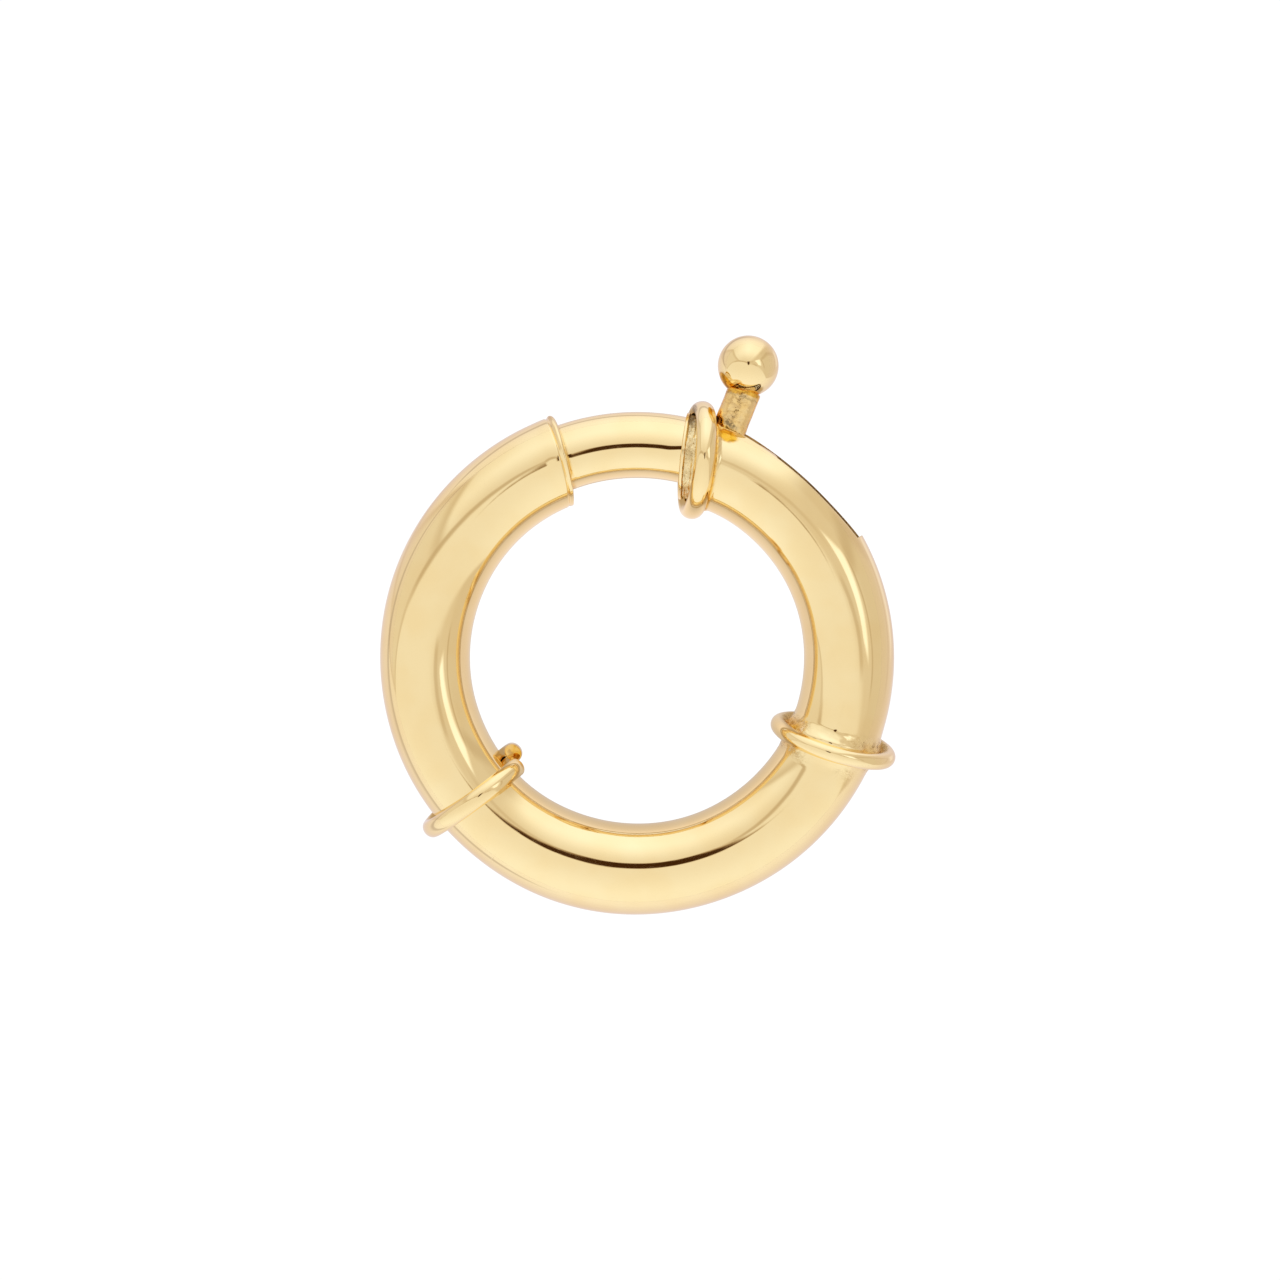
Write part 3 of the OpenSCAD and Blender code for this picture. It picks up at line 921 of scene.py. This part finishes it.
# the lever: a dull, pitted post, soldered to the tongue, with a polished ball
def lever():
    place = Place(LEVER, 0.0, SLOT_Z)
    x0, x1 = R0 + 0.14, 11.22
    x = np.concatenate([[x0, x0 + 0.01, x0 + 0.04], np.linspace(x0 + 0.1, x1 - 0.08, 90), [x1 - 0.045, x1 - 0.015, x1]])
    sides = 96
    th = np.radians(np.arange(sides) * 360 / sides)
    X, T = np.meshgrid(x, th, indexing="ij")
    # a round wire filed a little square
    r = 0.655 * (abs(np.cos(T)) ** 2.7 + abs(np.sin(T)) ** 2.7) ** (-1 / 2.7)
    r = r - 0.05 * np.clip((X - (x1 - 0.06)) / 0.06, 0, 1) ** 2 - 0.05 * np.clip((x0 + 0.05 - X) / 0.05, 0, 1) ** 2
    base = np.stack([X, r * np.cos(T), r * np.sin(T)], axis=-1).reshape(-1, 3)
    w = bumps(base, 2.2, 6, 4).reshape(X.shape)
    w2 = bumps(base, 7.0, 7, 3).reshape(X.shape)
    foot = np.exp(-(((X - 9.55) / 0.32) ** 2))
    r = r + 0.010 * w + 0.004 * w2 + 0.02 * foot * (0.5 + 0.5 * w) * (1 - smooth(np.cos(T), 0.2, 0.6))
    r = r - 0.040 * smooth(np.cos(T), 0.3, 0.9) * (1 - smooth(X, 9.66, 9.90))  # clear of the slot's end wall
    pts = np.stack([X, r * np.cos(T), r * np.sin(T)], axis=-1).reshape(-1, 3)
    n = len(x)
    pts = np.vstack([pts, [[x0, 0, 0], [x1, 0, 0]]])
    quads, i, j = grid(n, sides, flip=False)
    faces = quads.tolist()
    u = np.stack([x[i], x[i + 1], x[i + 1], x[i]], axis=1)
    v = np.stack([j, j, j + 1, j + 1], axis=1) * 2 * math.pi * 0.655 / sides
    uv = [np.stack([u, v], axis=2).reshape(-1, 2)]
    for row, mid in ((0, n * sides), (n - 1, n * sides + 1)):
        for k in range(sides):
            a, b = row * sides + k, row * sides + (k + 1) % sides
            faces.append((a, b, mid) if row == 0 else (b, a, mid))
            uv.append(np.zeros((3, 2)))
    p = pts[faces[0]]
    if np.dot(np.cross(p[1] - p[0], p[2] - p[1]), p.mean(axis=0) * [0, 1, 1]) < 0:
        faces = [tuple(f)[::-1] for f in faces]
    # local X runs out along the post, Y anticlockwise round the ring, and Z up
    worn = np.full(len(pts), 0.5)
    worn[: n * sides] = (0.14 + 0.22 * smooth(w, -0.1, 0.6)).ravel()
    stain_and_shade, amber_and_bounce = np.zeros(len(pts)), np.zeros(len(pts))
    y = r * np.cos(T)
    up = np.sin(T) > 0
    grime = np.exp(-(((X - 9.74 - 0.25 * y) / 0.16) ** 2 + ((y - 0.04) / 0.34) ** 2)) * up
    # solder grime by the foot, and a thin painted shadow line where the ball meets the post
    stain_and_shade[: n * sides] = (0.95 * smooth(grime + 0.25 * w2 * grime, 0.25, 0.8) + 0.5 * np.exp(-(((X + 0.10 * w - 10.885) / 0.035) ** 2))).clip(0, 1).ravel()
    # painted orange reflection on the post's flanks, at its top under the ball and at its base, over an amber tone
    # everywhere
    flank = smooth(abs(np.cos(T)) + 0.06 * w, 0.70, 0.90)
    post_bounce = np.maximum(0.85 * flank, 0.9 * smooth(X + 0.12 * w + 0.10 * np.cos(T), 10.90, 11.0))
    post_bounce = np.maximum(post_bounce, (1 - smooth(X + 0.1 * w - 0.2 * y, 9.50, 9.66)) * 0.9)
    amber_and_bounce[: n * sides] = np.maximum(post_bounce, 0.32 + 0.15 * w).clip(0, 1).ravel()
    post = make("lever_post", place.out(pts), faces, lever_gold, np.vstack(uv), {"worn": worn, "stain_and_shade": stain_and_shade, "amber_and_bounce": amber_and_bounce}, sharp=60)

    # ball: a turned ball with a small flat fillet of solder under it
    nu, nv = 96, 128
    lat = np.linspace(0, math.pi, nu + 1)[1:-1]
    lon = np.arange(nv) * 2 * math.pi / nv
    LA, LO = np.meshgrid(lat, lon, indexing="ij")
    # the pole points along the post, away from it
    d = np.stack([np.cos(LA), np.sin(LA) * np.cos(LO), np.sin(LA) * np.sin(LO)], axis=-1)
    rb = np.full(LA.shape, 1.185)
    wob = bumps((d * 1.17).reshape(-1, 3), 1.8, 8, 2).reshape(LA.shape)
    # the solder climbs the ball at the post's two sides, higher on the left
    lo_abs = abs((LO + math.pi) % (2 * math.pi) - math.pi)
    tide = np.degrees(LA + 0.04 * wob + 0.40 * np.exp(-(((lo_abs - 0.5) / 0.62) ** 2)) + 0.22 * np.exp(-(((lo_abs - 2.9) / 0.5) ** 2)))
    rb = rb + smooth(tide, 142, 158) * 0.014
    pts = (d * rb[..., None]).reshape(-1, 3) + np.array([12.12, 0.23, 0.0])
    pts = np.vstack([pts, [[12.12 + 1.17, 0.23, 0.0], [12.12 - 1.17, 0.23, 0.0]]])
    m = len(lat)
    quads, i, j = grid(m, nv)
    faces = quads.tolist()
    u = np.stack([LA[i, 0], LA[i + 1, 0], LA[i + 1, 0], LA[i, 0]], axis=1) * 1.17
    v = np.stack([j, j, j + 1, j + 1], axis=1) * 2 * math.pi * 1.17 / nv
    uv = [np.stack([v, u], axis=2).reshape(-1, 2)]
    for row, mid in ((0, m * nv), (m - 1, m * nv + 1)):
        for k in range(nv):
            a, b = row * nv + k, row * nv + (k + 1) % nv
            faces.append((a, b, mid) if row == 0 else (b, a, mid))
            uv.append(np.zeros((3, 2)))
    p = pts[faces[0]]
    if np.dot(np.cross(p[1] - p[0], p[2] - p[1]), p.mean(axis=0) - np.array([12.12, 0.23, 0.0])) < 0:
        faces = [tuple(f)[::-1] for f in faces]
    worn = np.zeros(len(pts))
    stain_and_shade = np.zeros(len(pts))
    amber_and_bounce = np.zeros(len(pts))
    # painted orange reflection round the ball's foot, where it meets the post
    amber_and_bounce[: m * nv] = smooth(tide, 143.5, 146.5).ravel()
    ball = make("lever_ball", place.out(pts), faces, lever_gold, np.vstack(uv), {"worn": worn, "stain_and_shade": stain_and_shade, "amber_and_bounce": amber_and_bounce})
    return post, ball


post, ball = lever()


# the coil spring between the stop and the tongue's tail
def spring():
    a0, a1 = STOP - 360 + 0.3, TAIL - 0.3
    mean = (SPRING_OD - SPRING_WIRE) / 2
    edge = math.degrees(SPRING_WIRE / 2 / R0)
    per = 40
    n = SPRING_TURNS * per
    e = 1.4 / SPRING_TURNS
    close = 1.1 * edge * 2 / (a1 - a0 - 2 * edge) * SPRING_TURNS
    mid = (1 - 2 * e * close) / (1 - 2 * e)

    def way(t):
        return np.where(t < e, t * close, np.where(t > 1 - e, 1 - (1 - t) * close, e * close + (t - e) * mid))

    t = np.linspace(0, 1, n + 1)
    a = np.radians(a0 + edge + (a1 - a0 - 2 * edge) * way(t))
    ph = 2 * math.pi * SPRING_TURNS * t
    out = np.stack([np.cos(ph) * np.cos(a), np.cos(ph) * np.sin(a), np.sin(ph)], axis=1)
    c = np.stack([R0 * np.cos(a), R0 * np.sin(a), np.zeros_like(a)], axis=1) + out * mean
    along = np.gradient(c, axis=0)
    along /= np.linalg.norm(along, axis=1)[:, None]
    side = np.cross(along, out)
    side /= np.linalg.norm(side, axis=1)[:, None]
    pts, faces, uv = sweep(c, out, side, SPRING_WIRE / 2, SPRING_WIRE / 2, 14)
    return make("spring_coil", pts, faces, spring_steel, uv, sharp=60)


coil = spring()

for o in (ring_body_o, lip, collar, eye):
    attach(o, "ring")
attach(jump, "ring")
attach(bolt, "bolt")
for o in (post, ball):
    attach(o, "bolt")
tuple(SMALL * R0 * f(math.radians(STOP - 360)) for f in (math.cos, math.sin)) + (0.0,)
tuple(SMALL * R0 * f(math.radians(TAIL)) for f in (math.cos, math.sin)) + (0.0,)
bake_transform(coil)
for o in (ring_body_o, lip, collar, eye):
    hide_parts("ring_tube")
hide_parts("jump_ring")
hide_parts("tongue")
for o in (post, ball):
    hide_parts("lever")
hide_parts("spring")

# ---------------------------------------------------------------- stage, light and camera

floor_z = -2.46


def stage():
    me = bpy.data.meshes.new("floor")
    n, r = 96, 500.0
    pts = [(0.0, 0.0, floor_z * SMALL)]
    pts += [(r * SMALL * math.cos(2 * math.pi * k / n), r * SMALL * math.sin(2 * math.pi * k / n), floor_z * SMALL) for k in range(n)]
    me.from_pydata(pts, [], [(0, 1 + k, 1 + (k + 1) % n) for k in range(n)])
    mat = bpy.data.materials.new("floor")
    mat.use_nodes = True
    n = Net(mat.node_tree)
    out = n.add("ShaderNodeOutputMaterial")
    # a lit white acrylic table: plain white to the eye, and glossy in the metal's own reflections. Open from below
    seen, lit = n.add("ShaderNodeEmission"), n.add("ShaderNodeEmission")
    seen.inputs["Color"].default_value = (1.0, 1.0, 1.0, 1.0)
    seen.inputs["Strength"].default_value = 1.05
    lit.inputs["Color"].default_value = (1.0, 0.88, 0.97, 1.0)
    lit.inputs["Strength"].default_value = 0.80
    gloss = n.add("ShaderNodeBsdfGlossy")
    gloss.inputs["Color"].default_value = (1.0, 0.985, 1.0, 1.0)
    gloss.inputs["Roughness"].default_value = 0.10
    facing = n.add("ShaderNodeLayerWeight")
    facing.inputs["Blend"].default_value = 0.5
    table = n.add("ShaderNodeMixShader")
    n.put(table.inputs[0], n.ramp(facing.outputs["Facing"], 0.0, 0.95, 0.20, 0.92))
    n.t.links.new(lit.outputs[0], table.inputs[1])
    n.t.links.new(gloss.outputs[0], table.inputs[2])
    # inside the ring, plain: painted shade and pink bounce from the gold, dimmer towards the near side
    inner, plain = n.add("ShaderNodeEmission"), n.add("ShaderNodeMixShader")
    # a soft painted shadow line left of the ring, and a thin one behind it
    co = n.add("ShaderNodeTexCoord")
    sep = n.add("ShaderNodeSeparateXYZ")
    n.put(sep.inputs[0], n.scaled(co.outputs["Object"], (1000.0, 1000.0, 1000.0)))
    out_by = n.m("SQRT", n.m("ADD", n.m("MULTIPLY", sep.outputs[0], sep.outputs[0]), n.m("MULTIPLY", sep.outputs[1], sep.outputs[1])))
    inner.inputs["Color"].default_value = (1.0, 0.90, 0.90, 1.0)
    n.put(inner.inputs["Strength"], n.ramp(sep.outputs[1], -6.0, 7.0, 0.68, 0.98))
    n.put(plain.inputs[0], n.ramp(out_by, 9.0, 7.6))
    n.t.links.new(table.outputs[0], plain.inputs[1])
    n.t.links.new(inner.outputs[0], plain.inputs[2])
    # and under it the ring's own shade, warmed by the metal
    under, shaded = n.add("ShaderNodeEmission"), n.add("ShaderNodeMixShader")
    under.inputs["Color"].default_value = (0.60, 0.43, 0.24, 1.0)
    under.inputs["Strength"].default_value = 0.75
    n.put(shaded.inputs[0], n.m("MULTIPLY", n.ramp(out_by, 5.4, 7.0), n.ramp(out_by, 10.6, 9.4, 0.0, 0.85)))
    n.t.links.new(plain.outputs[0], shaded.inputs[1])
    n.t.links.new(under.outputs[0], shaded.inputs[2])
    across = n.m("ADD", n.m("MULTIPLY", sep.outputs[0], 0.92), n.m("MULTIPLY", sep.outputs[1], 0.40))
    line = n.ramp(n.m("ABSOLUTE", n.m("ADD", across, 18.6)), 4.2, 0.6)
    line = n.m("MULTIPLY", line, n.ramp(sep.outputs[1], -24.0, -19.0, 0.0, 0.5))
    behind = n.m("SUBTRACT", n.m("SUBTRACT", sep.outputs[1], n.m("MULTIPLY", sep.outputs[0], 0.18)), 14.1)
    behind = n.m("MULTIPLY", n.ramp(n.m("ABSOLUTE", behind), 1.1, 0.3), n.m("MULTIPLY", n.ramp(sep.outputs[0], 6.0, 3.0), n.ramp(sep.outputs[0], -16.0, -11.0, 0.0, 0.5)))
    line = n.m("MAXIMUM", line, behind)
    shade = n.add("ShaderNodeEmission")
    shade.inputs["Color"].default_value = (0.40, 0.33, 0.33, 1.0)
    edged = n.add("ShaderNodeMixShader")
    n.put(edged.inputs[0], line)
    n.t.links.new(shaded.outputs[0], edged.inputs[1])
    n.t.links.new(shade.outputs[0], edged.inputs[2])
    clear = n.add("ShaderNodeBsdfTransparent")
    path = n.add("ShaderNodeLightPath")
    geo = n.add("ShaderNodeNewGeometry")
    one, two = n.add("ShaderNodeMixShader"), n.add("ShaderNodeMixShader")
    n.put(one.inputs[0], path.outputs["Is Camera Ray"])
    n.t.links.new(edged.outputs[0], one.inputs[1])
    n.t.links.new(seen.outputs[0], one.inputs[2])
    n.put(two.inputs[0], geo.outputs["Backfacing"])
    n.t.links.new(one.outputs[0], two.inputs[1])
    n.t.links.new(clear.outputs[0], two.inputs[2])
    n.t.links.new(two.outputs[0], out.inputs[0])
    me.materials.append(mat)
    o = bpy.data.objects.new("floor", me)
    scene.collection.objects.link(o)


def light():
    """A white tent round the table, as plain soft light: a near side, a far side, dimmer cloth between them with soft seams, one small window, and the hole that the lens looks through. px and py are a direction's tilt from straight up, in degrees, to the right and to the far side."""
    w = bpy.data.worlds.new("tent")
    scene.world = w
    w.use_nodes = True
    n = Net(w.node_tree)
    out = n.add("ShaderNodeOutputWorld")
    co = n.add("ShaderNodeTexCoord")
    sep = n.add("ShaderNodeSeparateXYZ")
    n.put(sep.inputs[0], co.outputs["Generated"])
    x, y, z = sep.outputs
    tilt = n.m("MULTIPLY", n.m("ARCCOSINE", n.m("MAXIMUM", n.m("MINIMUM", z, 1.0), -1.0)), 57.29578)
    rho = n.m("MAXIMUM", n.m("SQRT", n.m("ADD", n.m("MULTIPLY", x, x), n.m("MULTIPLY", y, y))), 1e-4)
    px = n.m("DIVIDE", n.m("MULTIPLY", tilt, x), rho)
    py = n.m("DIVIDE", n.m("MULTIPLY", tilt, y), rho)
    az = n.m("MULTIPLY", n.m("ARCTAN2", y, x), 57.29578)
    left = n.m("MAXIMUM", n.m("MULTIPLY", px, -1.0), 0.0)
    right = n.m("MAXIMUM", px, 0.0)

    def off(v, middle, edge, full):
        """1 within full of the middle, 0 beyond edge."""
        return n.ramp(n.m("ABSOLUTE", n.m("SUBTRACT", v, middle)), edge, full)

    def both(*values):
        r = values[0]
        for v in values[1:]:
            r = n.m("MULTIPLY", r, v)
        return r

    def sq(v):
        return n.m("MULTIPLY", v, v)

    # the near side
    near = n.m("SUBTRACT", n.ramp(py, 0.0, -75.0, 0.90, 1.05), n.m("MULTIPLY", right, 0.0009))
    # the far side, brighter towards the table
    far = n.m("SUBTRACT", n.ramp(tilt, 4.0, 66.0, 0.78, 1.20), n.m("MULTIPLY", left, 0.0052))
    far = n.m("SUBTRACT", far, n.m("MULTIPLY", right, 0.002))
    # left of it, dimmer cloth, darkest along the seam
    seam_x = n.m("MULTIPLY", n.m("SUBTRACT", 1.0, n.m("EXPONENT", n.m("DIVIDE", n.m("MAXIMUM", py, 0.0), -27.0))), -65.0)
    gap = n.m("SUBTRACT", px, seam_x)
    west = n.ramp(gap, -14.0, -2.0, 0.78, 0.64)
    upper = n.mix(n.ramp(gap, -3.5, 4.0), west, far)
    # right of it, the same
    drift = n.m("ADD", 27.0, n.m("MULTIPLY", n.ramp(tilt, 56.0, 90.0), 6.0))
    east = n.mix(both(off(n.m("SUBTRACT", az, drift), 0.0, 8.0, 1.0), n.ramp(tilt, 51.0, 60.0)), n.ramp(tilt, 56.0, 68.0, 0.71, 0.67), 0.56)
    slope = n.m("SUBTRACT", n.m("MULTIPLY", px, 0.743), n.m("MULTIPLY", py, 0.669))
    upper = n.mix(n.ramp(slope, -9.0, 4.0), upper, east)
    # where the near side ends
    end_w = n.m("SUBTRACT", 17.5, n.m("MULTIPLY", sq(n.m("SUBTRACT", left, 38.0)), 0.00625))
    end_w = n.m("SUBTRACT", end_w, n.m("MULTIPLY", sq(n.m("MAXIMUM", n.m("SUBTRACT", left, 55.0), 0.0)), 0.012))
    end_e = n.m("SUBTRACT", 4.0, n.m("POWER", n.m("DIVIDE", right, 15.8), 2.6))
    end = n.mix(n.ramp(px, -2.0, 6.0), end_w, end_e)
    over = n.m("DIVIDE", n.m("SUBTRACT", py, end), n.ramp(px, 0.0, 20.0, 2.6, 5.0))
    level = n.mix(n.ramp(over, -1.0, 1.0), near, upper)
    # the seams
    level = n.mix(both(off(n.m("SUBTRACT", py, end_w), 0.0, 3.8, 0.8), n.ramp(px, -2.0, -7.0), 0.9), level, n.ramp(left, 44.0, 60.0, 0.50, 0.65))
    level = n.mix(both(off(n.m("SUBTRACT", py, n.m("MULTIPLY", px, 0.13)), 12.3, 4.0, 0.8), n.ramp(px, 2.0, 5.0), n.ramp(px, 24.0, 14.0), 0.7), level, 0.58)
    # the window and its frame
    low = n.m("SUBTRACT", 29.5, n.m("MULTIPLY", az, 0.6))
    level = n.mix(both(off(n.m("SUBTRACT", tilt, low), 0.0, 7.5, 1.5), n.ramp(az, -8.0, -1.0), n.ramp(az, 26.0, 18.0), 0.85), level, 0.56)
    frame_at = n.m("SUBTRACT", 60.8, n.m("MULTIPLY", az, 0.28))
    level = n.mix(both(off(n.m("SUBTRACT", tilt, frame_at), 0.0, 3.4, 0.5), n.ramp(az, -13.0, -5.0), n.ramp(az, 30.0, 24.0), 0.85), level, 0.50)
    slant = n.m("SUBTRACT", az, n.m("MULTIPLY", n.m("SUBTRACT", 54.0, tilt), 0.42))
    inside = n.m("ADD", tilt, n.m("MULTIPLY", az, 0.25))
    level = n.mix(both(n.ramp(inside, 37.0, 40.5), n.ramp(tilt, 53.0, 45.0), n.ramp(slant, -5.0, -1.5), n.ramp(slant, 28.0, 24.0)), level, 1.22)
    # the lens
    hole = both(off(py, 8.6, 8.0, 5.4), n.ramp(n.m("SUBTRACT", n.m("ABSOLUTE", n.m("SUBTRACT", px, 0.4)), n.m("ADD", n.m("MINIMUM", n.m("MULTIPLY", py, 0.36), 3.1), 0.8)), 1.8, -0.8))
    level = n.mix(hole, level, 0.02)

    rgb = n.add("ShaderNodeCombineXYZ")
    n.put(rgb.inputs[0], n.m("POWER", level, 0.75))
    n.put(rgb.inputs[1], level)
    n.put(rgb.inputs[2], n.m("POWER", level, 1.35))
    tent, plain = n.add("ShaderNodeBackground"), n.add("ShaderNodeBackground")
    n.put(tent.inputs[0], rgb.outputs[0])
    plain.inputs[0].default_value = (1.0, 1.0, 1.0, 1.0)
    plain.inputs[1].default_value = 1.05
    path = n.add("ShaderNodeLightPath")
    mix = n.add("ShaderNodeMixShader")
    n.put(mix.inputs[0], path.outputs["Is Camera Ray"])
    n.t.links.new(tent.outputs[0], mix.inputs[1])
    n.t.links.new(plain.outputs[0], mix.inputs[2])
    n.t.links.new(mix.outputs[0], out.inputs[0])


def camera():
    cam = bpy.data.cameras.new("camera")
    far, width = 0.400, 0.0498
    cam.sensor_width = 36.0
    cam.lens = 36.0 * far / width
    cam.clip_start, cam.clip_end = 0.05, 3.0
    o = bpy.data.objects.new("camera", cam)
    o.location = (0.117 * SMALL, 0.661 * SMALL, far)
    o.rotation_euler = (0.0, 0.0, 0.0)
    scene.collection.objects.link(o)
    scene.camera = o


stage()
light()
camera()
scene.view_settings.view_transform = "Standard"
scene.view_settings.look = "None"
